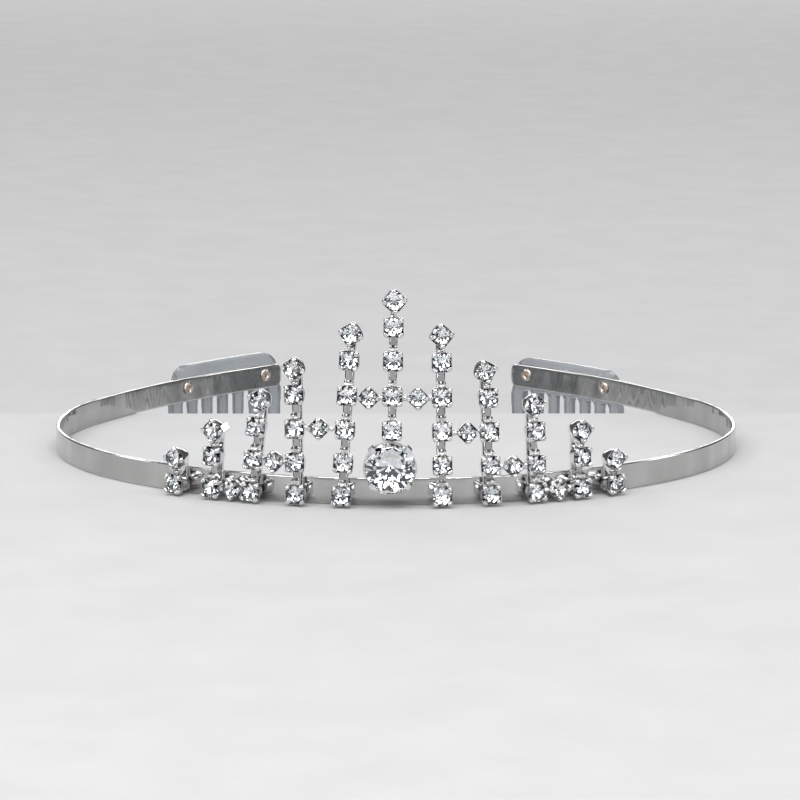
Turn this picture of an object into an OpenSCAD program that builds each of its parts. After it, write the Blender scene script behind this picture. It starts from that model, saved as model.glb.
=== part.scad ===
// Bridal tiara: a springy metal headband with eleven stone columns and two riveted side combs.
// Units are millimetres. X runs left to right, Y runs from the forehead to the back, Z is up.
// The origin is the middle of the head opening, in the plane of the band's lower edge.

/* [Headband] */
// radius of the band's outer face across the front
front_r = 73; // [60:0.5:85]
// half angle that the front arc covers
front_a = 48.7806; // [40:0.0001:60]
// radius of the band's outer face at the temples
side_r = 50.5; // [40:0.5:60]
// angle from the middle of the front to the end of the temple arc
side_a = 118.1709; // [100:0.0001:125]
// radius of the band's outer face along the nearly straight tails
tail_r = 145; // [100:1:200]
// angle from the middle of the front to the end of the tail
tail_a = 140.8; // [130:0.1:150]
// distance from the origin to the middle of the band's front
front_y = 58; // [50:0.5:65]
// height of the band strip
band_h = 5.1; // [4:0.1:8]
// thickness of the band strip
band_t = 0.8; // [0.5:0.1:1.5]

/* [Stone columns] */
// heights of the cup centres in a full column
row_z = [2.25, 8.05, 14.35, 20.75, 27.3, 33.6]; // [2:0.1:40]
// rise from the last square cup to the tip cup above it
tip_rise = 4.85; // [4.6:0.05:6]
// each top stone's own offset: [sideways, up, turn in degrees], from the left
tip_place = [[0, 0, 0], [0, 0, 0], [0.25, 0.2, -10], [0, 0, -9], [0.1, 0.1, -10], [0.1, 0, 6],
             [0, 0.05, 5], [-0.45, 0.2, 14], [-0.2, 0.1, 4], [-0.05, 0.1, 7], [-0.1, -0.2, 8]];
// place of each column along the band, from the left end to the right end
col_s = [-42, -34.2, -26.4, -18, -9.7, -0.95, 8.2, 17, 25.5, 34.4, 41.6]; // [-45:0.1:45]
// sideways lean of each column, in millimetres for each millimetre of height
col_lean = [0.06, 0.05, 0.1, -0.008, 0.06, 0.017, -0.008, -0.037, -0.03, -0.015, -0.02]; // [-0.1:0.001:0.1]
// how far the upper cups of each column stand above the common rows
col_lift = [0, 0.25, 0.25, 0.2, 0.4, 0.3, 0.05, -0.35, -0.7, 0.05, 0]; // [-0.8:0.05:0.6]

/* [Cup settings] */
// width of a cup across its flats
cup_w = 3.8; // [3:0.1:5]
// radius of a cup's corners
cup_r = 0.8; // [0.4:0.1:1.2]
// depth of a cup from its base to its wall tops
cup_d = 3.6; // [3:0.1:5]
// size of the claw folded over the stone at each corner
claw = 0.7; // [0.4:0.05:1]
// radius of the small stones
stone_r = 1.8; // [1.4:0.05:2.4]

/* [Centre stone] */
// radius of the large stone
rivoli_r = 4.95; // [4:0.05:7]
// height of the large stone's centre
rivoli_z = 7.75; // [6:0.05:10]
// place of the large stone along the band
rivoli_s = -1.05; // [-2:0.05:2]

/* [Stems and links] */
// width of the stems and of the links between cups
strip_w = 1.5; // [1:0.1:2]
// thickness of the stem behind each column
stem_t = 0.6; // [0.4:0.1:1]
// thickness of a link
link_t = 0.4; // [0.3:0.05:0.6]
// distance of the links from the band's face
link_d = 1.95; // [1.5:0.05:2.5]

/* [Side combs] */
// width of a comb along the band, just below its rounded corners
comb_w = 29.6; // [25:0.1:40]
// width of a comb along the band, at the roots of its teeth
root_w = 31.4; // [25:0.1:40]
// height of the comb's top above the band's lower edge
comb_top = 8.2; // [6:0.1:12]
// depth below the band's lower edge at which the gaps between the teeth start to round over
comb_root = 0.1; // [0.1:0.1:3]
// depth of the teeth's tips below the band's lower edge
comb_tip = 26; // [15:0.5:35]
// thickness of the comb's spine
comb_t = 1.8; // [1.2:0.1:3]
// number of teeth
teeth = 7; // [5:1:12]
// gap between two teeth at their roots
tooth_gap = 2.5; // [1:0.1:3]
// distance of the comb's middle from the end of the band, along the band
comb_in = 15; // [10:0.1:20]
// how far the left and the right comb sit below their nominal height
comb_drop = [0.6, 1.7]; // [0:0.1:2]
// distances of the two rivets from the end of the band, along the band
rivet_in = [4.3, 26.9]; // [2:0.1:30]
// height of the rivets' centres above the band's lower edge
rivet_z = 2.9; // [2:0.1:4]
// radius of a rivet's shank
rivet_r = 1; // [0.6:0.05:1.5]

/* [Hidden] */
$fn = 48;
gap = 0.02; // clearance between neighbouring pieces
front_len = front_r * front_a * PI / 180;
side_turn = side_a - front_a;
side_len = side_r * side_turn * PI / 180;
tail_len = tail_r * (tail_a - side_a) * PI / 180;
half_len = front_len + side_len + tail_len;
front_c = [0, front_r - front_y];
side_c = front_c + (front_r - side_r) * [sin(front_a), -cos(front_a)];
tail_c = side_c + (side_r - tail_r) * [sin(side_a), -cos(side_a)];
arc_fn = 720;
edge = 0.12; // bevel along the band's edges
cup_base = stem_t + gap;
girdle = 2.93; // height of a small stone's widest edge inside its cup
crown_h = 0.9;
pavilion_h = 1.5;
table_r = 1;
scallop_r = 1.1; // radius of the hollow between two claws
girdle_t = 0.15;
cup_diag = (cup_w / 2) * sqrt(2) - cup_r * (sqrt(2) - 1);
cup_foot = 1.3; // radius of a cup's round base
cup_flare = 0.32; // widening of that base for each millimetre of depth
bar_w = 0.4; // length of the solder bars beside a cross-link cup
rim_d = 3.95; // distance of the large stone's rim from the band's face
tooth_pitch = root_w / teeth;
tooth_tip_r = 0.8;
comb_r = tail_r + gap; // radius of the comb's inner face
cross_k = 0.9; // size of a cross-link cup against a column cup
// cross links: [place along the band, height]
crosses = [[-30.3, 2.35], [-22.1, 8.15], [-13.75, 14.75], [-4.85, 20.65],
           [3.85, 20.6], [12.7, 14], [21.2, 7.3], [29.9, 2.3]];

// angle of the band's outward normal at a place along the band
function turn(s) =
  let (a = abs(s))
  sign(s) * (a < front_len ? a / front_r * 180 / PI
    : a < front_len + side_len ? front_a + (a - front_len) / side_r * 180 / PI
    : side_a + (a - front_len - side_len) / tail_r * 180 / PI);

// point of the band's outer face at a place along the band
function spot(s) =
  let (t = abs(turn(s)),
       c = abs(s) < front_len ? front_c : abs(s) < front_len + side_len ? side_c : tail_c,
       r = abs(s) < front_len ? front_r : abs(s) < front_len + side_len ? side_r : tail_r,
       p = c + r * [sin(t), -cos(t)])
  [(s < 0 ? -1 : 1) * p[0], p[1]];

// number of square cups in a column, counted from the middle column at 0
function cups(k) = 6 - abs(k);
// first row of a column: the large stone takes the place of the two lowest rows in the middle
function first(k) = k == 0 ? 2 : 0;
// last square cup of a column: the middle column is as tall as six rows
function last(k) = k == 0 ? 5 : cups(k) - 1;
function cup_z(k, i) = row_z[i] + (i > 0 ? col_lift[k + 5] : 0);
function tip_z(k) = cup_z(k, last(k)) + tip_rise + tip_place[k + 5][1];
function tip_link_z(k) = cup_z(k, last(k)) + cup_w / 2 + gap;

// stands children on the band's outer face: x along the band, y up, z away from the head
module on_face(s, z = 0, d = 0, spin = 0) {
  translate([spot(s)[0], spot(s)[1], z])
    rotate([0, 0, turn(s)])
      translate([0, -d, 0])
        rotate([90, 0, 0])
          rotate([0, 0, spin])
            children();
}

// the same for a column, which leans about its lowest row
module on_column(k) {
  on_face(col_s[k + 5], row_z[0], 0, -atan(col_lean[k + 5]))
    translate([0, -row_z[0], 0])
      children();
}

// the top stone of a column stands on one corner
module on_tip(k) {
  translate([tip_place[k + 5][0], tip_z(k), cup_base])
    rotate([0, 0, 45 + tip_place[k + 5][2]])
      children();
}

module slab(w, y0, y1, z0, z1) {
  translate([-w / 2, y0, z0])
    cube([w, y1 - y0, z1 - z0]);
}

module round_square(w, r) {
  square([w, w - 2 * r], center = true);
  square([w - 2 * r, w], center = true);
  for (x = [-1, 1])
    for (y = [-1, 1])
      translate([x * (w / 2 - r), y * (w / 2 - r)])
        circle(r);
}

// one cup: a square wall on a round base, cut down between its four corner claws
module cup() {
  difference() {
    intersection() {
      linear_extrude(cup_d)
        round_square(cup_w, cup_r);
      cylinder(h = cup_d, r1 = cup_foot, r2 = cup_foot + cup_flare * cup_d);
    }
    translate([0, 0, girdle - 0.18])
      cylinder(h = cup_d, r = stone_r + 0.03);
    translate([0, 0, 1.2])
      cylinder(h = girdle - 1.35, r1 = 0.3, r2 = stone_r - 0.14);
    for (a = [0, 90])
      rotate([0, 0, a])
        translate([0, cup_w, cup_d + 0.3])
          rotate([90, 0, 0])
            cylinder(h = 2 * cup_w, r = scallop_r);
  }
  for (a = [45:90:315])
    rotate([0, 0, a])
      translate([1.62, -claw / 2, cup_d - 0.12])
        cube([claw, claw, 0.46]);
}

function ring(n, r, z) = [for (i = [0:n - 1]) [r * cos(360 * i / n), r * sin(360 * i / n), z]];

// a cut stone: an eight-sided table, a sixteen-sided girdle and a pointed back
module brilliant() {
  n = 16;
  g = n / 2;
  b = g + n;
  tip = b + n;
  points = concat(ring(n / 2, table_r, girdle + girdle_t + crown_h),
                  ring(n, stone_r, girdle + girdle_t),
                  ring(n, stone_r, girdle),
                  [[0, 0, girdle - pavilion_h]]);
  faces = concat([[for (i = [n / 2 - 1:-1:0]) i]],
                 [for (i = [0:n / 2 - 1]) [i, g + 2 * i, g + (2 * i + n - 1) % n]],
                 [for (i = [0:n / 2 - 1]) [i, g + 2 * i + 1, g + 2 * i]],
                 [for (i = [0:n / 2 - 1]) [i, (i + 1) % (n / 2), g + 2 * i + 1]],
                 [for (i = [0:n - 1]) [g + i, g + (i + 1) % n, b + (i + 1) % n, b + i]],
                 [for (i = [0:n - 1]) [b + i, b + (i + 1) % n, tip]]);
  polyhedron(points, faces);
}

// the large stone: facets that run from a raised point to the girdle, and a pointed back
module rivoli() {
  n = 24;
  g = 1 + n / 2;
  b = g + n;
  tip = b + n;
  points = concat([[0, 0, rim_d + 0.2 + 0.35 * rivoli_r]],
                  ring(n / 2, rivoli_r * 0.5, rim_d + 0.2 + 0.19 * rivoli_r),
                  ring(n, rivoli_r, rim_d + 0.2),
                  ring(n, rivoli_r, rim_d),
                  [[0, 0, rim_d - 2.7]]);
  faces = concat([for (i = [0:n / 2 - 1]) [0, 1 + (i + 1) % (n / 2), 1 + i]],
                 [for (i = [0:n / 2 - 1]) [1 + i, g + 2 * i, g + (2 * i + n - 1) % n]],
                 [for (i = [0:n / 2 - 1]) [1 + i, g + 2 * i + 1, g + 2 * i]],
                 [for (i = [0:n / 2 - 1]) [1 + i, 1 + (i + 1) % (n / 2), g + 2 * i + 1]],
                 [for (i = [0:n - 1]) [g + i, g + (i + 1) % n, b + (i + 1) % n, b + i]],
                 [for (i = [0:n - 1]) [b + i, b + (i + 1) % n, tip]]);
  polyhedron(points, faces);
}

// an arc of the band strip, from straight ahead of its centre round to one side
module band_arc(r, sweep, back = false) {
  rotate([0, 0, -90])
    mirror([0, back ? 1 : 0, 0])
      rotate_extrude(angle = sweep, $fn = arc_fn)
        polygon([[r - band_t, edge], [r - band_t + edge, 0], [r - edge, 0], [r, edge],
                 [r, band_h - edge], [r - edge, band_h], [r - band_t + edge, band_h],
                 [r - band_t, band_h - edge]]);
}

// half of the band: each arc starts at the seam it shares with its neighbour, so they meet exactly
module half_band() {
  translate([front_c[0], front_c[1], 0])
    rotate([0, 0, front_a]) {
      band_arc(front_r, front_a + 5, true);
      translate([0, side_r - front_r, 0]) {
        band_arc(side_r, side_turn / 2 + 5);
        rotate([0, 0, side_turn]) {
          band_arc(side_r, side_turn / 2 + 5, true);
          translate([0, tail_r - side_r, 0])
            band_arc(tail_r, tail_a - side_a);
        }
      }
    }
}

module headband() {
  color([0.78, 0.78, 0.8])
    difference() {
      union() {
        half_band();
        mirror([1, 0, 0])
          half_band();
      }
      for (side = [-1, 1])
        for (e = rivet_in)
          on_face(side * (half_len - e), rivet_z, -band_t - 1)
            cylinder(h = band_t + 2, r = rivet_r + gap);
    }
}

// the stem runs up the front of the band and behind every cup of its column;
// the middle one starts behind the large stone
module stem(k) {
  color([0.7, 0.7, 0.72])
    on_column(k)
      slab(strip_w, k == 0 ? 3.5 : 0.5, tip_z(k), 0, stem_t);
}

// links join each cup to the next, and bend forward where they enter the cup below
module links(k) {
  color([0.75, 0.75, 0.78])
    on_column(k) {
      for (i = [first(k):last(k) - 1]) {
        slab(strip_w, cup_z(k, i) + cup_w / 2 + gap, cup_z(k, i + 1) - cup_w / 2 - gap,
             link_d, link_d + link_t);
        slab(strip_w, cup_z(k, i) + cup_w / 2 + gap, cup_z(k, i) + cup_w / 2 + 0.85,
             link_d, link_d + 1.7);
      }
      slab(strip_w - 0.3, tip_link_z(k), tip_z(k) - cup_diag - gap,
           link_d, link_d + 1.5);
      if (k == -4)
        stub(k);
    }
}

// a spare end of strip beside the top cup, turned with it and tipped back to face up
module stub(k) {
  tilt = 31;
  translate([0, tip_z(k), 0])
    rotate([0, 0, -45])
      translate([1.2, cup_w / 2 + gap + 0.8, 3.7])
        rotate([0, 0, 45])
          rotate([-tilt, 0, 0])
            rotate([0, 0, -45])
              cube([1.4, 1.3, link_t], center = true);
}

module settings(k) {
  color([0.8, 0.8, 0.82])
    on_column(k) {
      for (i = [first(k):last(k)])
        translate([0, cup_z(k, i), cup_base])
          cup();
      on_tip(k)
        cup();
    }
}

module crystals(k) {
  color([0.92, 0.95, 1])
    on_column(k) {
      for (i = [first(k):last(k)])
        translate([0, cup_z(k, i), cup_base])
          brilliant();
      on_tip(k)
        brilliant();
    }
}

module cross_settings() {
  color([0.8, 0.8, 0.82])
    for (c = crosses)
      on_face(c[0], c[1], cup_base, 45)
        scale(cross_k)
          cup();
}

module cross_crystals() {
  color([0.92, 0.95, 1])
    for (c = crosses)
      on_face(c[0], c[1], cup_base, 45)
        scale(cross_k)
          brilliant();
}

// small solder bars between a cross-link cup and the two cups beside it
module cross_bars() {
  color([0.75, 0.75, 0.78])
    for (c = crosses)
      for (side = [-1, 1])
        on_face(c[0] + side * (cross_k * cup_diag + bar_w / 2), c[1], 0)
          slab(bar_w - 2 * gap, -0.55, 0.55, link_d, link_d + 1.4);
}

// the large round setting: a conical cup with four square claws
module center_setting() {
  color([0.8, 0.8, 0.82])
    on_face(rivoli_s, rivoli_z) {
      difference() {
        translate([0, 0, cup_base])
          cylinder(h = rim_d - gap - cup_base, r1 = rivoli_r - 0.6, r2 = rivoli_r + 0.06);
        translate([0, 0, 1.1])
          cylinder(h = rim_d - 1.1, r1 = 0.4, r2 = rivoli_r - 0.25);
      }
      for (a = [45:90:315])
        rotate([0, 0, a]) {
          translate([rivoli_r - 0.35, -0.5, 2.2])
            cube([0.62, 1, rim_d - gap - 2.2]);
          translate([rivoli_r + 0.03, -0.5, rim_d - 0.1])
            cube([0.24, 1, 0.95]);
          translate([rivoli_r - 0.68, -0.5, rim_d + 0.57])
            cube([0.95, 1, 0.28]);
        }
    }
}

module center_crystal() {
  color([0.92, 0.95, 1])
    on_face(rivoli_s, rivoli_z)
      rivoli();
}

// middle of the gap before a tooth, and the comb's own ends before the first and after the last
function gap_x(i) = (i - teeth / 2) * tooth_pitch;

// one tooth, from its two sides at the root down to its rounded tip; the outer two are wider
module tooth(left, right) {
  mid = (left + right) / 2;
  translate([0, 0, -3])
    linear_extrude(8)
      polygon([[right, 0.5 - comb_root], [left, 0.5 - comb_root], [left, -0.5 - comb_root],
               [mid - tooth_tip_r, tooth_tip_r - comb_tip],
               [mid + tooth_tip_r, tooth_tip_r - comb_tip], [right, -0.5 - comb_root]]);
  translate([mid, tooth_tip_r - comb_tip, -3])
    cylinder(h = 8, r = tooth_tip_r);
}

// a flat comb blank: x along the band, y up from the band's lower edge, z away from the head
module comb_blank() {
  corner = 4;
  difference() {
    union() {
      translate([0, 0, -3])
        linear_extrude(8)
          polygon([[root_w / 2, -comb_root - 0.3], [comb_w / 2, comb_top - corner],
                   [-comb_w / 2, comb_top - corner], [-root_w / 2, -comb_root - 0.3]]);
      slab(comb_w - 2 * corner, 2, comb_top, -3, 5);
      for (x = [-1, 1])
        translate([x * (comb_w / 2 - corner), comb_top - corner, -3])
          cylinder(h = 8, r = corner);
      for (i = [0:teeth - 1])
        tooth(gap_x(i) + (i > 0 ? tooth_gap / 2 : 0), gap_x(i + 1) - (i < teeth - 1 ? tooth_gap / 2 : 0));
    }
    for (i = [1:teeth - 1])
      translate([gap_x(i), -comb_root - 0.05, -4])
        cylinder(h = 10, r = tooth_gap / 2);
  }
}

// the comb follows the tail's curve, and its teeth get thinner towards their tips
module comb(side) {
  color([0.6, 0.63, 0.65, 0.5])
    difference() {
      on_face(side * (half_len - comb_in), -comb_drop[side > 0 ? 1 : 0])
        intersection() {
          comb_blank();
          translate([0, 0, -tail_r])
            rotate([-90, 0, 0])
              rotate([0, 0, -98])
                rotate_extrude(angle = 16, $fn = arc_fn)
                  polygon([[comb_r, comb_top + 1], [comb_r + comb_t, comb_top + 1],
                           [comb_r + comb_t, -comb_root], [comb_r + comb_t - 0.5, -comb_tip - 1],
                           [comb_r + 0.3, -comb_tip - 1], [comb_r, -comb_root]]);
        }
      for (e = rivet_in)
        on_face(side * (half_len - e), rivet_z, -1)
          cylinder(h = comb_t + 3, r = rivet_r + gap);
    }
}

module comb_left() {
  comb(-1);
}

module comb_right() {
  comb(1);
}

// a semi-tubular rivet: a domed head outside, and a rolled hollow ring on the band's inner face
module rivet() {
  out = comb_t + 3 * gap;
  head_r = 1.9;
  dome_r = 2.8;
  difference() {
    union() {
      translate([0, 0, -band_t - 0.3])
        cylinder(h = out + band_t + 0.31, r = rivet_r);
      translate([0, 0, -band_t - 0.4])
        cylinder(h = 0.4 - gap, r1 = 1.1, r2 = 1.3);
      intersection() {
        translate([0, 0, out + 0.75 - dome_r])
          sphere(dome_r);
        translate([0, 0, out])
          cylinder(h = 2, r = head_r);
      }
    }
    translate([0, 0, -band_t - 1])
      cylinder(h = 2, r = 0.6);
  }
}

module rivets(side) {
  color([0.78, 0.64, 0.56])
    for (e = rivet_in)
      on_face(side * (half_len - e), rivet_z)
        rivet();
}

module rivets_left() {
  rivets(-1);
}

module rivets_right() {
  rivets(1);
}

module stem_l5() stem(-5);
module stem_l4() stem(-4);
module stem_l3() stem(-3);
module stem_l2() stem(-2);
module stem_l1() stem(-1);
module stem_c() stem(0);
module stem_r1() stem(1);
module stem_r2() stem(2);
module stem_r3() stem(3);
module stem_r4() stem(4);
module stem_r5() stem(5);
module links_l5() links(-5);
module links_l4() links(-4);
module links_l3() links(-3);
module links_l2() links(-2);
module links_l1() links(-1);
module links_c() links(0);
module links_r1() links(1);
module links_r2() links(2);
module links_r3() links(3);
module links_r4() links(4);
module links_r5() links(5);
module settings_l5() settings(-5);
module settings_l4() settings(-4);
module settings_l3() settings(-3);
module settings_l2() settings(-2);
module settings_l1() settings(-1);
module settings_c() settings(0);
module settings_r1() settings(1);
module settings_r2() settings(2);
module settings_r3() settings(3);
module settings_r4() settings(4);
module settings_r5() settings(5);
module crystals_l5() crystals(-5);
module crystals_l4() crystals(-4);
module crystals_l3() crystals(-3);
module crystals_l2() crystals(-2);
module crystals_l1() crystals(-1);
module crystals_c() crystals(0);
module crystals_r1() crystals(1);
module crystals_r2() crystals(2);
module crystals_r3() crystals(3);
module crystals_r4() crystals(4);
module crystals_r5() crystals(5);

headband();
stem_l5();
stem_l4();
stem_l3();
stem_l2();
stem_l1();
stem_c();
stem_r1();
stem_r2();
stem_r3();
stem_r4();
stem_r5();
links_l5();
links_l4();
links_l3();
links_l2();
links_l1();
links_c();
links_r1();
links_r2();
links_r3();
links_r4();
links_r5();
settings_l5();
settings_l4();
settings_l3();
settings_l2();
settings_l1();
settings_c();
settings_r1();
settings_r2();
settings_r3();
settings_r4();
settings_r5();
crystals_l5();
crystals_l4();
crystals_l3();
crystals_l2();
crystals_l1();
crystals_c();
crystals_r1();
crystals_r2();
crystals_r3();
crystals_r4();
crystals_r5();
cross_settings();
cross_crystals();
cross_bars();
center_setting();
center_crystal();
comb_left();
comb_right();
rivets_left();
rivets_right();
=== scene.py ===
"""A bridal tiara: claw-set stones on a silver headband with two clear side combs.

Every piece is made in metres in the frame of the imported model. Places come from
that model's own nodes, or from the curve of the band, which is repeated here.
"""

import cmath
import math
import random

import bmesh
import bpy
from mathutils import Matrix, Vector


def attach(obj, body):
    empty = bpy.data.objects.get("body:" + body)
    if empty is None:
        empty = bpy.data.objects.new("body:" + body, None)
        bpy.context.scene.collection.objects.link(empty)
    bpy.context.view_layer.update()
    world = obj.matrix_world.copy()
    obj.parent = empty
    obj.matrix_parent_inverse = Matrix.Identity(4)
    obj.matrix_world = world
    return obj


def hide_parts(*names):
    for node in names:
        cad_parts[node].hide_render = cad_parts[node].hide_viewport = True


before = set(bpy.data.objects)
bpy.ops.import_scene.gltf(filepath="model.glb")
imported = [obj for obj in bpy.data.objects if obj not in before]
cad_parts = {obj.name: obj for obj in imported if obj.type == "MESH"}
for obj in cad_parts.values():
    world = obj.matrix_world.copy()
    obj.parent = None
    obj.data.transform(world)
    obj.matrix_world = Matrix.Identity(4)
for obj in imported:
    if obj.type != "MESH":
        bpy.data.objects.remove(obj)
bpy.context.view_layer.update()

MM = 0.001
COLUMNS = ("l5", "l4", "l3", "l2", "l1", "c", "r1", "r2", "r3", "r4", "r5")
COLUMN_SEED = 11            # of the first column; the others count up from it
CROSS_SEED = 31
SOLDER_SEED = 47

# the band's outer face, from the middle of the front round to one end:
# each arc's radius in mm and the turn in degrees at which it ends
BAND_ARCS = ((73.0, 48.7806), (50.5, 118.1709), (145.0, 140.8))
FRONT_Y = 58.0
BAND_H = 5.1
BAND_T = 0.8
RIVET_IN = (4.3, 26.9)
RIVET_Z = 2.9
RIVET_R = 1.0
COMB_T = 1.8
PLAY = 0.02

UP = Vector((0, 0, 1))


def placed(x, y, z, at):
    """The matrix with these three axes and this origin."""
    m = Matrix((x, y, z)).transposed().to_4x4()
    m.translation = at
    return m


# ---------------------------------------------------------------- the band's curve

def band_segments():
    """Each arc as (start, end, radius, centre, turn at its start), lengths in mm."""
    segments = []
    start, turn = 0.0, 0.0
    centre = Vector((0.0, BAND_ARCS[0][0] - FRONT_Y))
    radius = BAND_ARCS[0][0]
    for r, end_turn in BAND_ARCS:
        t = math.radians(turn)
        centre = centre + (radius - r) * Vector((math.sin(t), -math.cos(t)))
        end = start + r * math.radians(end_turn - turn)
        segments.append((start, end, r, centre, turn))
        start, turn, radius = end, end_turn, r
    return segments


SEGMENTS = band_segments()
HALF_LEN = SEGMENTS[-1][1]


def on_band(s, z=0.0, out=0.0):
    """Matrix of a place on the band's outer face: x along it, y up, z away from the head (mm)."""
    for start, end, r, centre, turn in SEGMENTS:
        if abs(s) <= end + 1e-9:
            break
    t = math.radians(turn) + (abs(s) - start) / r
    p = centre + r * Vector((math.sin(t), -math.cos(t)))
    side = -1.0 if s < 0 else 1.0
    t *= side
    along = Vector((math.cos(t), math.sin(t), 0.0))
    away = Vector((math.sin(t), -math.cos(t), 0.0))
    at = Vector((side * p.x, p.y, z)) + out * away
    return placed(along, UP, away, at)


# ---------------------------------------------------------------- material helpers

def new_material(name):
    """A material with its node tree and its shader."""
    mat = bpy.data.materials.new(name)
    mat.use_nodes = True
    tree = mat.node_tree
    return mat, tree, tree.nodes["Principled BSDF"]


def noise(tree, scale, stretch=(1, 1, 1), detail=3.0):
    """Noise in object space (scale is per metre), stretched along the axes."""
    coord = tree.nodes.new("ShaderNodeTexCoord")
    mapping = tree.nodes.new("ShaderNodeMapping")
    mapping.inputs["Scale"].default_value = stretch
    tex = tree.nodes.new("ShaderNodeTexNoise")
    tex.inputs["Scale"].default_value = scale
    tex.inputs["Detail"].default_value = detail
    tree.links.new(coord.outputs["Object"], mapping.inputs["Vector"])
    tree.links.new(mapping.outputs["Vector"], tex.inputs["Vector"])
    return tex.outputs["Fac"]


def ramp(tree, value, stops):
    """A colour ramp; each stop is (place, colour or grey)."""
    node = tree.nodes.new("ShaderNodeValToRGB")
    elements = node.color_ramp.elements
    while len(elements) < len(stops):
        elements.new(0.5)
    for element, (place, colour) in zip(elements, stops):
        element.position = place
        if isinstance(colour, float):
            colour = (colour, colour, colour)
        element.color = (*colour, 1.0)
    tree.links.new(value, node.inputs["Fac"])
    return node.outputs["Color"]


def bump(tree, shader, heights):
    """Chains bumps into the shader's normal; each is (value, strength, distance)."""
    normal = None
    for value, strength, distance in heights:
        node = tree.nodes.new("ShaderNodeBump")
        node.inputs["Strength"].default_value = strength
        node.inputs["Distance"].default_value = distance
        tree.links.new(value, node.inputs["Height"])
        if normal:
            tree.links.new(normal, node.inputs["Normal"])
        normal = node.outputs["Normal"]
    tree.links.new(normal, shader.inputs["Normal"])


def metal(name, low, high, rough, blotch, streak, streak_stretch, waves=0.0):
    """Polished metal: blotchy tone, fine scratches, uneven polish and soft dents."""
    mat, tree, shader = new_material(name)
    shader.inputs["Metallic"].default_value = 1.0
    tone = noise(tree, blotch, (1, 1, 0.4), 4.0)
    tree.links.new(ramp(tree, tone, [(0.3, low), (0.7, high)]), shader.inputs["Base Color"])
    scratch = noise(tree, streak, streak_stretch, 6.0)
    tree.links.new(ramp(tree, scratch, [(0.3, rough[0]), (0.75, rough[1])]),
                   shader.inputs["Roughness"])
    heights = [(scratch, 0.06, 0.00002)]
    if waves:
        heights.append((noise(tree, 230.0, (1, 1, 0.12), 0.0), waves, 0.0006))
    bump(tree, shader, heights)
    return mat


def glass_material():
    """The clear front of a stone, with faint smears and hairline scratches."""
    mat, tree, shader = new_material("crystal_glass")
    shader.inputs["Transmission Weight"].default_value = 1.0
    shader.inputs["IOR"].default_value = 1.56
    smear = noise(tree, 900.0, (1, 1, 1), 3.0)
    tree.links.new(ramp(tree, smear, [(0.55, 0.0), (0.9, 0.05)]), shader.inputs["Roughness"])
    tints = [(0.35, (0.97, 0.99, 1.0)), (0.7, (1.0, 1.0, 0.99))]
    tree.links.new(ramp(tree, noise(tree, 500.0), tints), shader.inputs["Base Color"])
    bump(tree, shader, [(noise(tree, 2500.0, (1, 0.2, 1), 2.0), 0.03, 0.00001)])
    return mat


def foil_material():
    """The mirror backing of a stone, with slight tints where the foil is thin."""
    mat, tree, shader = new_material("crystal_foil")
    shader.inputs["Metallic"].default_value = 1.0
    tint = noise(tree, 1100.0, (1, 1, 1), 1.0)
    colours = [(0.3, (0.80, 0.90, 0.92)), (0.45, (0.97, 0.97, 0.98)),
               (0.58, (0.93, 0.95, 1.0)), (0.68, (1.0, 0.92, 0.86)), (0.78, (0.82, 0.96, 0.88))]
    tree.links.new(ramp(tree, tint, colours), shader.inputs["Base Color"])
    tree.links.new(ramp(tree, noise(tree, 1600.0), [(0.5, 0.01), (0.85, 0.07)]),
                   shader.inputs["Roughness"])
    bump(tree, shader, [(noise(tree, 1200.0), 0.02, 0.00001)])
    return mat


def plastic_material():
    """Clear injection-moulded plastic, a little cloudy, with handling marks; its grey is partly a
    smoky tint and partly painted shade.
    """
    mat, tree, shader = new_material("comb_plastic")
    shader.inputs["Transmission Weight"].default_value = 0.72
    shader.inputs["IOR"].default_value = 1.49
    cloud = noise(tree, 130.0, (1, 1, 1), 3.0)
    # grey body colour: partly the plastic's smoky tint, partly painted shade for the dark ground
    # seen through it
    tree.links.new(ramp(tree, cloud, [(0.3, (0.46, 0.49, 0.52)), (0.7, (0.58, 0.61, 0.63))]),
                   shader.inputs["Base Color"])
    tree.links.new(ramp(tree, noise(tree, 300.0, (1, 1, 1), 2.0), [(0.35, 0.2), (0.75, 0.28)]),
                   shader.inputs["Roughness"])
    bump(tree, shader, [(noise(tree, 600.0, (1, 1, 1), 2.0), 0.05, 0.00002),
                        (noise(tree, 150.0, (1, 1, 1), 1.0), 0.1, 0.0003)])
    return mat


def stage_material(name, low, high, rough):
    """Plain matt card with a faint grain."""
    mat, tree, shader = new_material(name)
    tree.links.new(ramp(tree, noise(tree, 60.0), [(0.3, low), (0.7, high)]),
                   shader.inputs["Base Color"])
    shader.inputs["Roughness"].default_value = rough
    bump(tree, shader, [(noise(tree, 1200.0), 0.1, 0.00005)])
    return mat


# the band's flat sides: a darker silver, painted shade standing in for the dark surroundings they
# reflect
BAND_SILVER_PAINTED_SHADE = metal("band_silver", (0.42, 0.42, 0.41), (0.57, 0.565, 0.555), (0.06, 0.15),
                    120.0, 500.0, (1, 1, 0.6), waves=0.55)
# the band's rolled rims: a brighter copy of the same silver, a painted highlight
RIM_SILVER_PAINTED_HIGHLIGHT = metal("rim_silver_painted_highlight", (0.6, 0.6, 0.6), (0.8, 0.8, 0.8), (0.08, 0.2),
                   200.0, 500.0, (1, 1, 1))
CUP_SILVER = metal("setting_silver", (0.62, 0.61, 0.61), (0.9, 0.9, 0.9), (0.04, 0.16),
                   500.0, 1500.0, (1, 1, 1))
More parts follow.
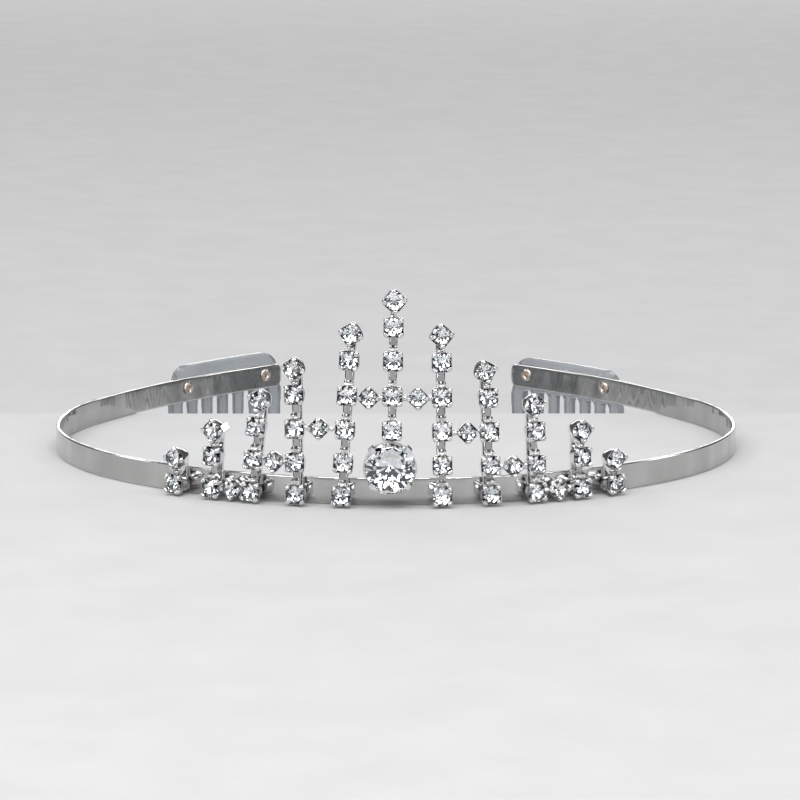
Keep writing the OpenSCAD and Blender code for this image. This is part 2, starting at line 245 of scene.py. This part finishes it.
# the face of each link strip: a darker copy of the silver, painted shade for the dark surroundings
# it reflects
STRIP_SILVER_PAINTED_SHADE = metal("stem_silver", (0.3, 0.3, 0.31), (0.5, 0.5, 0.51), (0.06, 0.18),
                    300.0, 1800.0, (1, 1, 0.15))
COPPER = metal("rivet_copper", (0.66, 0.56, 0.5), (0.88, 0.79, 0.73), (0.14, 0.3),
               700.0, 1500.0, (1, 1, 1))
GLASS = glass_material()
FOIL = foil_material()
PLASTIC = plastic_material()


# ---------------------------------------------------------------- mesh helpers

def add_piece(name, mesh, materials, nodes):
    """A visible piece that stands for CAD nodes and rides on the part's only body."""
    piece = bpy.data.objects.new(name, mesh)
    bpy.context.scene.collection.objects.link(piece)
    for mat in materials:
        mesh.materials.append(mat)
    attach(piece, "root")
    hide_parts(*nodes)
    return piece


def to_mesh(bm, name, smooth_angle=None):
    """Finishes a bmesh. With an angle, faces are smooth and sharper edges stay crisp."""
    bmesh.ops.recalc_face_normals(bm, faces=bm.faces)
    mesh = bpy.data.meshes.new(name)
    bm.to_mesh(mesh)
    bm.free()
    if smooth_angle:
        mesh.polygons.foreach_set("use_smooth", [True] * len(mesh.polygons))
        mesh.set_sharp_from_angle(angle=math.radians(smooth_angle))
    return mesh


SAME_PLACE = 2e-6
FLAT = math.radians(0.5)
CREASE = math.radians(35)


def node_bmesh(node):
    """A CAD node's mesh with its split vertices joined and flat faces whole again."""
    bm = bmesh.new()
    bm.from_mesh(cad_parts[node].data)
    bmesh.ops.remove_doubles(bm, verts=bm.verts, dist=SAME_PLACE)
    bmesh.ops.dissolve_limit(bm, angle_limit=FLAT, verts=bm.verts, edges=bm.edges)
    bm.faces.index_update()
    return bm


def soften(node, name, mat, width):
    """A CAD part with its edges rolled over, as on pressed and polished metal."""
    mesh = to_mesh(node_bmesh(node), name)
    piece = add_piece(name, mesh, [mat], [node])
    roll = piece.modifiers.new("rolled_edges", "BEVEL")
    roll.width = width * MM
    roll.segments = 3
    roll.limit_method = "ANGLE"
    roll.angle_limit = CREASE
    roll.harden_normals = True
    mesh.polygons.foreach_set("use_smooth", [True] * len(mesh.polygons))
    mesh.set_sharp_from_angle(angle=CREASE)
    return piece


def islands(bm):
    """The separate solids in a bmesh, as lists of vertices, always in the same order."""
    seen = set()
    found = []
    for first in bm.verts:
        if first in seen:
            continue
        seen.add(first)
        stack = [first]
        part = []
        while stack:
            v = stack.pop()
            part.append(v)
            for e in v.link_edges:
                w = e.other_vert(v)
                if w not in seen:
                    seen.add(w)
                    stack.append(w)
        found.append(part)
    return found


def loft(bm, rings, matrix):
    """Joins closed rings of points, and closes both ends with a fan."""
    rows = [[bm.verts.new(matrix @ Vector(p)) for p in ring] for ring in rings]
    n = len(rows[0])
    faces = []
    for low, high in zip(rows, rows[1:]):
        for i in range(n):
            j = (i + 1) % n
            faces.append(bm.faces.new((low[i], low[j], high[j], high[i])))
    for row in (rows[0], rows[-1]):
        middle = bm.verts.new(sum((v.co for v in row), Vector()) / n)
        for i in range(n):
            faces.append(bm.faces.new((row[i], row[(i + 1) % n], middle)))
    return faces


# ---------------------------------------------------------------- cups and stones

STONE_R = 1.8
STONE_GIRDLE = 2.93
STONE_TIP = 1.43
CUP_HALF = 1.9
CLAW_REACH = 1.1
# a cup looks the same after a quarter turn; its spin is counted from a little below upright
LEAST_SPIN = math.radians(20)


def middle(vertices):
    """The mean place of some vertices."""
    return sum((v.co for v in vertices), Vector()) / len(vertices)


def seats(crystals, settings):
    """The frames of the cups in a pair of CAD nodes, in cup millimetres, from the lowest up.

    A stone's sharp back is its vertex with the most edges, the rest of the stone
    gives its axis, and the claws of the cup round it give its corners.
    """
    bm = node_bmesh(crystals)
    cups = node_bmesh(settings)
    cup_parts = islands(cups)
    found = []
    for part in islands(bm):
        tip = max(part, key=lambda v: len(v.link_edges))
        axis = (middle([v for v in part if v is not tip]) - tip.co).normalized()
        radius = max(((v.co - tip.co).cross(axis)).length for v in part)
        scale = radius / STONE_R
        base = tip.co - axis * (STONE_TIP * scale)
        right = UP.cross(axis).normalized()
        up = axis.cross(right)
        cup = min(cup_parts, key=lambda c: (middle(c) - base).length)
        corners = 0j
        for v in cup:
            d = v.co - base
            across = complex(d.dot(right), d.dot(up))
            if abs(across) > CLAW_REACH * radius:
                corners += (across / abs(across)) ** 4
        spin = (cmath.phase(-corners) / 4 + LEAST_SPIN) % (math.pi / 2) - LEAST_SPIN
        turned = Matrix.Rotation(spin, 3, axis)
        found.append(placed(turned @ right, turned @ up, axis, base) @ Matrix.Scale(scale, 4))
    bm.free()
    cups.free()
    found.sort(key=lambda m: m.translation.z)
    return found


def smooth_step(x):
    """0 up to 0, 1 from 1, and a smooth rise between."""
    x = min(max(x, 0.0), 1.0)
    return x * x * (3 - 2 * x)


# A place on a cup's wall is (radius, height), or (WALL, distance inwards from the square
# outline, height). Each row is a place between the claws and a place at a claw; the
# rows run up the outside, over the rim and down the inside.
WALL = "wall"
CUP_ROWS = (
    ((1.1, 0.0), (1.1, 0.0)),
    ((1.27, 0.05), (1.27, 0.05)),
    ((1.45, 0.35), (1.45, 0.35)),
    ((1.62, 0.9), (1.62, 0.9)),
    ((WALL, 0, 1.5), (WALL, 0, 1.6)),
    ((WALL, 0, 2.3), (WALL, 0, 2.5)),
    ((WALL, 0, 2.75), (WALL, 0, 3.1)),
    ((WALL, 0.01, 2.93), (WALL, 0.03, 3.45)),
    ((WALL, 0.04, 3.01), (WALL, 0.12, 3.66)),
    ((WALL, 0.08, 3.01), (WALL, 0.27, 3.82)),
    ((WALL, 0.1, 2.95), (1.86, 3.9)),
    ((WALL, 0.11, 2.88), (1.68, 3.86)),
    ((WALL, 0.12, 2.8), (1.56, 3.7)),
    ((WALL, 0.14, 2.7), (1.6, 3.5)),
    ((1.72, 2.6), (1.84, 3.14)),
    ((1.6, 2.5), (1.82, 2.8)),
    ((1.3, 2.15), (1.6, 2.5)),
    ((0.9, 1.7), (0.9, 1.7)),
    ((0.3, 1.2), (0.3, 1.2)),
)
CUP_POINTS = 64
CLAW_HALF_ANGLE = 11
CLAW_BEND_FROM = 3.4


def cup_place(place, square):
    """The radius and height of a place, where the square outline has the given radius."""
    if place[0] != WALL:
        return place
    _, inwards, z = place
    cone = 1.3 + 0.34 * z
    return min(square, cone) - inwards, z


def cup_rings(rng):
    """The wall of one cup: a square box on a round foot that ends in four bent claws."""
    bend = [rng.uniform(-0.05, 0.05) for _ in range(4)]
    rise = [rng.uniform(-0.05, 0.03) for _ in range(4)]
    rings = []
    for between, claw in CUP_ROWS:
        ring = []
        for i in range(CUP_POINTS):
            a = 2 * math.pi * i / CUP_POINTS
            quarter = int(i * 4 / CUP_POINTS)
            off = abs((a % (math.pi / 2)) - math.pi / 4)
            w = 1 - smooth_step((math.degrees(off) - CLAW_HALF_ANGLE) / CLAW_HALF_ANGLE)
            square = (abs(math.cos(a)) ** 6 + abs(math.sin(a)) ** 6) ** (-1 / 6) * CUP_HALF
            (r, z), (claw_r, claw_z) = (cup_place(place, square) for place in (between, claw))
            r += (claw_r - r) * w
            z += (claw_z - z) * w
            if claw_z > CLAW_BEND_FROM:
                r += bend[quarter] * w
                z += rise[quarter] * w
            ring.append((r * math.cos(a), r * math.sin(a), z))
        rings.append(ring)
    return rings


def ring_points(n, r, z, phase=0.0):
    """n points round a circle at height z; phase 0.5 starts half a step on."""
    return [Vector((r * math.cos(2 * math.pi * (i + phase) / n),
                    r * math.sin(2 * math.pi * (i + phase) / n), z)) for i in range(n)]


# where the two steps of a star meet, as parts of the stone's radius and of its rise
STAR_STEP = (0.6, 0.43)


def cut_stone(bm, matrix, n, girdle, girdle_t, girdle_r, table_r, top_z, back):
    """A stone with n front facets round a table, on a foiled back of 2n facets.

    Without a table the front facets meet in a point, in two steps, as on a large
    stone cut to a star. back is (depth of the point, depth of the ridges between
    the grooves that run out from it), both below the girdle.
    """
    top = girdle + girdle_t
    depth, ridge = back
    upper = ring_points(2 * n, girdle_r, top)
    lower = ring_points(2 * n, girdle_r, girdle)
    for p in lower[1::2]:
        p.z -= ridge
    if table_r:
        inner = ring_points(n, table_r, top_z, 0.5)
    else:
        out, rise = STAR_STEP
        inner = ring_points(n, girdle_r * out, top + (top_z - top) * rise, 0.5)
    t, u, g, tip = ([bm.verts.new(matrix @ p) for p in points]
                    for points in (inner, upper, lower, [Vector((0, 0, girdle - depth))]))
    if table_r:
        bm.faces.new(t)
    else:
        apex = bm.verts.new(matrix @ Vector((0, 0, top_z)))
        for i in range(n):
            bm.faces.new((apex, t[i - 1], t[i]))
    foiled = []
    for i in range(n):
        j = (i + 1) % n
        bm.faces.new((t[i - 1], u[2 * i], t[i]))
        bm.faces.new((t[i], u[2 * i], u[2 * i + 1]))
        bm.faces.new((t[i], u[2 * i + 1], u[2 * j]))
    for i in range(2 * n):
        j = (i + 1) % (2 * n)
        foiled.append(bm.faces.new((tip[0], g[i], g[j])))
        foiled.append(bm.faces.new((u[i], u[j], g[j], g[i])))
    for f in foiled:
        f.material_index = 1


SMALL_FACETS = 8
SMALL_GIRDLE_T = 0.14
SMALL_BACK = (0.75, 0.22)
SMALL_TABLE_R = 0.95
SMALL_TABLE_Z = 3.8
LEAN = 2.5                  # most that a small stone leans, in degrees


def small_stone(bm, matrix, rng):
    """A small stone in its cup, leaning and turned a little at random."""
    lean = Matrix.Rotation(math.radians(rng.uniform(-LEAN, LEAN)), 4, "X")
    lean = lean @ Matrix.Rotation(math.radians(rng.uniform(-LEAN, LEAN)), 4, "Y")
    spin = Matrix.Rotation(rng.uniform(0, math.pi / 4), 4, "Z")
    seat = Matrix.Translation((0, 0, STONE_GIRDLE))
    rock = seat @ lean @ spin @ seat.inverted()
    cut_stone(bm, matrix @ rock, SMALL_FACETS, STONE_GIRDLE, SMALL_GIRDLE_T, STONE_R - PLAY,
              SMALL_TABLE_R, SMALL_TABLE_Z, SMALL_BACK)


def add_column(key, settings, crystals, seed):
    """Every cup and stone of a pair of CAD nodes."""
    rng = random.Random(seed)
    places = seats(crystals, settings)
    cups = bmesh.new()
    stones = bmesh.new()
    for place in places:
        loft(cups, cup_rings(rng), place)
        small_stone(stones, place, rng)
    add_piece(f"cups_{key}", to_mesh(cups, f"cups_{key}", 50), [CUP_SILVER],
              [settings])
    add_piece(f"stones_{key}", to_mesh(stones, f"stones_{key}"), [GLASS, FOIL],
              [crystals])


# the front of a strip's section: (part of its width, part of its thickness)
STRIP_FACE = ((-0.5, -0.32), (-0.42, -0.12), (-0.32, -0.02), (0.0, 0.0),
              (0.32, -0.02), (0.42, -0.12), (0.5, -0.32))
STRIP_T = 0.4 * MM
BEAD = 0.95 * MM
ROUND_END = 0.08 * MM       # how far a strip's ends are rolled back
LONG_STRIP = 1.1 * MM       # a strip longer than this has a flat part behind its bead
STUB_OFFSET = 0.75 * MM


def add_strip(bm, column, low, high):
    """One link, from its box in the column's frame: a flat strip painted darker as shade, with a
    bead at its foot that curls forward to the light and takes the brighter setting silver, a
    painted highlight.
    """
    width = high.x - low.x
    middle_x = (high.x + low.x) / 2
    reach = high.z - low.z - STRIP_T
    bead = min(BEAD, high.y - low.y)
    steps = [0.0, 0.04] + [0.1 * k for k in range(1, 10)] + [0.96, 1.0]
    places = [high.y, high.y - ROUND_END] if high.y - low.y > LONG_STRIP else []
    places += [low.y + bead * (1 - t) for t in steps]
    rings = []
    for y in places:
        t = min(1.0, max(0.0, 1 - (y - low.y) / bead))
        hump = 0.14 * math.sin(math.pi * min(1.0, t * 1.2))
        forward = reach * (smooth_step(t / 0.3) * 0.86 + hump)
        round_end = ROUND_END if y in (high.y, low.y) else 0.0
        front = low.z + STRIP_T + forward - round_end
        ring = [Vector((middle_x + x * width, y, front + drop * STRIP_T)) for x, drop in STRIP_FACE]
        ring += [Vector((high.x, y, low.z)), Vector((low.x, y, low.z))]
        rings.append(ring)
    faces = loft(bm, rings, column)
    inverse = column.inverted()
    # the bead takes the brighter setting silver: a painted highlight on top of its curve
    for f in faces:
        if (inverse @ f.calc_center_median()).y < low.y + bead * 0.98:
            f.material_index = 1


def add_links(key):
    """A column's links, and the spare stub that stands to one side of one column."""
    node = f"links_{key}"
    column = seats(f"crystals_{key}", f"settings_{key}")[0]
    column = Matrix.LocRotScale(column.translation, column.to_quaternion(), None)
    source = node_bmesh(node)
    inverse = column.inverted()
    made = bmesh.new()
    for part in islands(source):
        local = [inverse @ v.co for v in part]
        low = Vector([min(p[i] for p in local) for i in range(3)])
        high = Vector([max(p[i] for p in local) for i in range(3)])
        if abs(low.x + high.x) / 2 < STUB_OFFSET:
            add_strip(made, column, low, high)
            continue
        copies = {v: made.verts.new(v.co) for v in part}
        for f in sorted({f for v in part for f in v.link_faces}, key=lambda f: f.index):
            made.faces.new([copies[v] for v in f.verts]).material_index = 1
    source.free()
    add_piece(f"link_strips_{key}", to_mesh(made, node, 40), [STRIP_SILVER_PAINTED_SHADE, CUP_SILVER],
              [node])


for number, key in enumerate(COLUMNS):
    add_column(key, f"settings_{key}", f"crystals_{key}", COLUMN_SEED + number)
    soften(f"stem_{key}", f"stem_strip_{key}", CUP_SILVER, 0.12)
    add_links(key)
add_column("cross", "cross_settings", "cross_crystals", CROSS_SEED)


SOLDER_REACH = 0.62
SOLDER_HEIGHT = (0.5, 0.66)
SOLDER_DEPTH = 0.72
SOLDER_TURN = 0.5
SOLDER_WAVE = 2600
SOLDER_SWELL = 0.05


def add_solder(seed):
    """Each solder bar as a bright lump, drawn out towards the two cups that it joins."""
    rng = random.Random(seed)
    source = node_bmesh("cross_bars")
    places = [middle(part) for part in islands(source)]
    source.free()
    lumps = bmesh.new()
    front_centre = (BAND_ARCS[0][0] - FRONT_Y) * MM
    for at in sorted(places, key=lambda p: p.x):
        away = Vector((at.x, at.y - front_centre, 0)).normalized()
        m = placed(UP.cross(away), UP, away, at)
        turn = Matrix.Rotation(rng.uniform(-SOLDER_TURN, SOLDER_TURN), 4, "Z")
        size = Matrix.Diagonal((SOLDER_REACH * MM, rng.uniform(*SOLDER_HEIGHT) * MM,
                                SOLDER_DEPTH * MM, 1))
        lump = bmesh.ops.create_icosphere(lumps, subdivisions=4, radius=1.0, matrix=m @ turn @ size)
        waves = [Vector([rng.uniform(-1, 1) for _ in range(3)]) * SOLDER_WAVE for _ in range(4)]
        for v in lump["verts"]:
            swell = 1 + SOLDER_SWELL * sum(math.sin(v.co.dot(w)) for w in waves)
            v.co = at + (v.co - at) * swell
    add_piece("solder_bars", to_mesh(lumps, "solder_bars", 60), [CUP_SILVER],
              ["cross_bars"])


add_solder(SOLDER_SEED)


# ---------------------------------------------------------------- the large stone

LARGE_FACETS = 12
LARGE_GIRDLE = 2.7
LARGE_GIRDLE_T = 0.2
LARGE_BACK = (1.5, 0.22)
LARGE_TURN = 9


def add_center():
    """The large stone, placed by the CAD stone's front and back points, and its cup."""
    bm = node_bmesh("center_crystal")
    back = max(bm.verts, key=lambda v: v.co.y).co.copy()
    front = min(bm.verts, key=lambda v: v.co.y).co.copy()
    axis = (front - back).normalized()
    radius = max(((v.co - back).cross(axis)).length for v in bm.verts) / MM
    bm.free()
    right = UP.cross(axis).normalized()
    m = placed(right, axis.cross(right), axis, back)
    m = m @ Matrix.Scale(MM, 4) @ Matrix.Rotation(math.radians(LARGE_TURN), 4, "Z")
    stone = bmesh.new()
    cut_stone(stone, m, LARGE_FACETS, LARGE_GIRDLE, LARGE_GIRDLE_T, radius - PLAY, 0.0,
              (front - back).length / MM, LARGE_BACK)
    add_piece("large_stone", to_mesh(stone, "large_stone"), [GLASS, FOIL],
              ["center_crystal"])
    soften("center_setting", "large_cup", CUP_SILVER, 0.08)


add_center()


# ---------------------------------------------------------------- headband

RIM_STEPS = 5
RIM_R = 0.3
END_CORNER = 1.5            # radius of the corners at the strip's two ends
END_PART = 1.6              # length at each end that has its own, closer steps
END_STEP = 0.12
BAND_STEPS = 640


def band_ring(s, inset):
    """The strip's cross-section with rolled edges, at one place along it."""
    m = on_band(s)
    low, high = inset + RIM_R, BAND_H - inset - RIM_R
    outer, inner = -RIM_R, RIM_R - BAND_T
    points = []
    corners = ((outer, low, -90), (outer, high, 0), (inner, high, 90), (inner, low, 180))
    for out, z, start in corners:
        for k in range(RIM_STEPS):
            a = math.radians(start + 90 * k / (RIM_STEPS - 1))
            points.append(m @ Vector((0, z + RIM_R * math.sin(a), out + RIM_R * math.cos(a))) * MM)
    return points


def add_band():
    """The strip with rounded ends, rolled rims and the four rivet holes; the rims get a brighter
    silver than the flat sides, a painted highlight on the rims and painted shade on the sides.
    """
    ends = [HALF_LEN - PLAY] + [HALF_LEN - END_STEP * k for k in range(1, 13)]
    between = [(HALF_LEN - END_PART) * (2 * k / BAND_STEPS - 1) for k in range(BAND_STEPS + 1)]
    places = sorted(set([-p for p in ends] + between + ends))
    rings = []
    for s in places:
        e = END_CORNER - min(END_CORNER, HALF_LEN - abs(s))
        rings.append(band_ring(s, END_CORNER - math.sqrt(END_CORNER ** 2 - e ** 2)))
    bm = bmesh.new()
    # a corner of the section ends after RIM_STEPS - 1 faces, and a flat side follows
    # flat sides take the darker silver (painted shade), the rolled corners the brighter one
    # (painted highlight)
    for number, face in enumerate(loft(bm, rings, Matrix.Identity(4))):
        face.material_index = 0 if number % len(rings[0]) % RIM_STEPS == RIM_STEPS - 1 else 1
    band = add_piece("band_strip", to_mesh(bm, "band_strip", 40), [BAND_SILVER_PAINTED_SHADE, RIM_SILVER_PAINTED_HIGHLIGHT],
                     ["headband"])
    drill = bmesh.new()
    for side in (-1, 1):
        for e in RIVET_IN:
            m = on_band(side * (HALF_LEN - e), RIVET_Z)
            rings = [ring_points(40, RIVET_R + PLAY, z) for z in (-3.0, 2.0)]
            loft(drill, rings, Matrix.Scale(MM, 4) @ m)
    cutter = bpy.data.objects.new("drill", to_mesh(drill, "drill"))
    bpy.context.scene.collection.objects.link(cutter)
    cut = band.modifiers.new("rivet_holes", "BOOLEAN")
    cut.object = cutter
    cut.solver = "EXACT"
    bpy.context.view_layer.update()
    drilled = band.evaluated_get(bpy.context.evaluated_depsgraph_get())
    made = bpy.data.meshes.new_from_object(drilled)
    band.modifiers.clear()
    band.data = made
    bpy.data.objects.remove(cutter)
    made.set_sharp_from_angle(angle=math.radians(40))


add_band()


# ---------------------------------------------------------------- combs and rivets

def add_comb(side):
    """The CAD comb with all its edges eased, as plastic leaves a mould."""
    node = f"comb_{side}"
    piece = add_piece(f"side_comb_{side}", to_mesh(node_bmesh(node), node), [PLASTIC],
                      [node])
    remesh = piece.modifiers.new("moulded", "REMESH")
    remesh.mode = "VOXEL"
    remesh.voxel_size = 0.2 * MM
    remesh.use_smooth_shade = True
    ease = piece.modifiers.new("eased", "SMOOTH")
    ease.factor = 0.5
    ease.iterations = 8


RIVET_POINTS = 48
LEAST_R = 0.02              # stands for 0 where a profile meets its axis


def add_rivets(side, sign):
    """Semi-tubular rivets: a domed head outside and a rolled hollow end inside."""
    out = COMB_T + 3 * PLAY
    inner = -BAND_T
    profile = ((0.0, out + 0.74), (0.5, out + 0.7), (1.0, out + 0.56), (1.45, out + 0.33),
               (1.78, out + 0.12), (1.88, out + 0.05), (1.82, out), (RIVET_R, out),
               (RIVET_R, inner - 0.02), (1.22, inner - 0.04), (1.3, inner - 0.14),
               (1.26, inner - 0.28), (1.08, inner - 0.39), (0.86, inner - 0.4),
               (0.66, inner - 0.33), (0.52, inner - 0.2), (0.46, inner - 0.05),
               (0.42, inner + 0.5), (0.0, inner + 0.6))
    bm = bmesh.new()
    for e in RIVET_IN:
        m = Matrix.Scale(MM, 4) @ on_band(sign * (HALF_LEN - e), RIVET_Z)
        rings = [ring_points(RIVET_POINTS, max(r, LEAST_R), z) for r, z in profile]
        loft(bm, rings, m)
    add_piece(f"rivet_pair_{side}", to_mesh(bm, f"rivets_{side}", 50), [COPPER],
              [f"rivets_{side}"])


for side, sign in (("left", -1), ("right", 1)):
    add_comb(side)
    add_rivets(side, sign)


# ---------------------------------------------------------------- stage, lights, camera

def add_slab(name, low, high, mat, roll):
    """A plain block of the stage, with rolled edges."""
    bm = bmesh.new()
    bmesh.ops.create_cube(bm, size=1.0)
    for v in bm.verts:
        v.co = Vector([low[i] + (v.co[i] + 0.5) * (high[i] - low[i]) for i in range(3)])
    bmesh.ops.bevel(bm, geom=bm.edges, offset=roll, segments=4, affect="EDGES", profile=0.5)
    slab = bpy.data.objects.new(name, to_mesh(bm, name, 40))
    slab.data.materials.append(mat)
    bpy.context.scene.collection.objects.link(slab)


PALE = stage_material("pale_card", (0.5, 0.5, 0.505), (0.53, 0.53, 0.535), 0.9)
PLINTH_BACK = 36.0
FLOOR_Z = -60.0
add_slab("plinth", (-0.4, -0.4, FLOOR_Z * MM), (0.4, PLINTH_BACK * MM, -0.00004), PALE, 0.0008)
add_slab("floor", (-12.0, -12.0, FLOOR_Z * MM - 0.02), (12.0, 12.0, FLOOR_Z * MM), PALE, 0.005)


def add_softbox(name, azimuth, elevation, distance, size, radiance):
    """A soft light aimed at the tiara; azimuth 0 is straight in front, and 90 to the right."""
    a, e = math.radians(azimuth), math.radians(elevation)
    at = distance * Vector((math.sin(a) * math.cos(e), -math.cos(a) * math.cos(e), math.sin(e)))
    data = bpy.data.lights.new(name, "AREA")
    data.shape = "RECTANGLE"
    data.size, data.size_y = size
    data.energy = radiance * math.pi * size[0] * size[1]
    light = bpy.data.objects.new(name, data)
    light.location = at
    light.rotation_euler = at.to_track_quat("Z", "Y").to_euler()
    light.visible_camera = False
    bpy.context.scene.collection.objects.link(light)


SOFTBOXES = (
    ("front_left", -17, 30, 1.0, (0.13, 0.24), 5.5),
    ("front_right", 13, 32, 1.0, (0.13, 0.2), 5.0),
    ("high_left", -14, 56, 1.0, (0.2, 0.24), 5.2),
    ("high_right", 24, 54, 1.0, (0.18, 0.24), 5.2),
    ("left_panel", -34, 14, 1.0, (0.2, 0.34), 5.0),
    ("right_panel", 33, 12, 1.0, (0.18, 0.34), 4.0),
    ("key_left", -58, 44, 0.9, (0.36, 0.3), 6.0),
    ("fill_right", 62, 40, 0.9, (0.32, 0.3), 4.0),
    ("low_left", -88, 12, 0.9, (0.2, 0.3), 4.0),
    ("low_right", 90, 14, 0.9, (0.2, 0.3), 4.0),
    ("back_left", -140, 40, 1.2, (0.4, 0.3), 4.0),
    ("back_right", 150, 40, 1.2, (0.4, 0.3), 4.0),
    ("rim_panel", 180, 13, 2.8, (2.2, 0.5), 3.6),
    ("sparkle_1", -18, 12, 0.95, (0.03, 0.03), 80.0),
    ("sparkle_2", 20, 24, 0.95, (0.03, 0.03), 80.0),
    ("sparkle_3", -30, 52, 0.95, (0.03, 0.03), 80.0),
    ("sparkle_4", 38, 50, 0.95, (0.03, 0.03), 80.0),
)
for box in SOFTBOXES:
    add_softbox(*box)
sky_data = bpy.data.lights.new("overhead", "SUN")
sky_data.energy = 2.0
sky_data.angle = math.radians(60)
sky = bpy.data.objects.new("overhead", sky_data)
sky.rotation_euler = (math.radians(12), 0, 0)
bpy.context.scene.collection.objects.link(sky)

world = bpy.data.worlds.new("studio")
world.use_nodes = True
world.node_tree.nodes["Background"].inputs["Color"].default_value = (0.75, 0.77, 0.8, 1)
world.node_tree.nodes["Background"].inputs["Strength"].default_value = 0.12
bpy.context.scene.world = world
bpy.context.scene.view_settings.view_transform = "Standard"

CAMERA_AT = Vector((0.0, -0.8079, 0.1563))
AIM_DOWN = 10.318
AIM_RIGHT = 0.0555
camera_data = bpy.data.cameras.new("camera")
camera_data.lens = 185.9
camera_data.sensor_width = 36.0
camera_data.clip_start = 0.05
camera = bpy.data.objects.new("camera", camera_data)
camera.location = CAMERA_AT
camera.rotation_euler = (math.radians(90 - AIM_DOWN), 0, math.radians(-AIM_RIGHT))
bpy.context.scene.collection.objects.link(camera)
bpy.context.scene.camera = camera
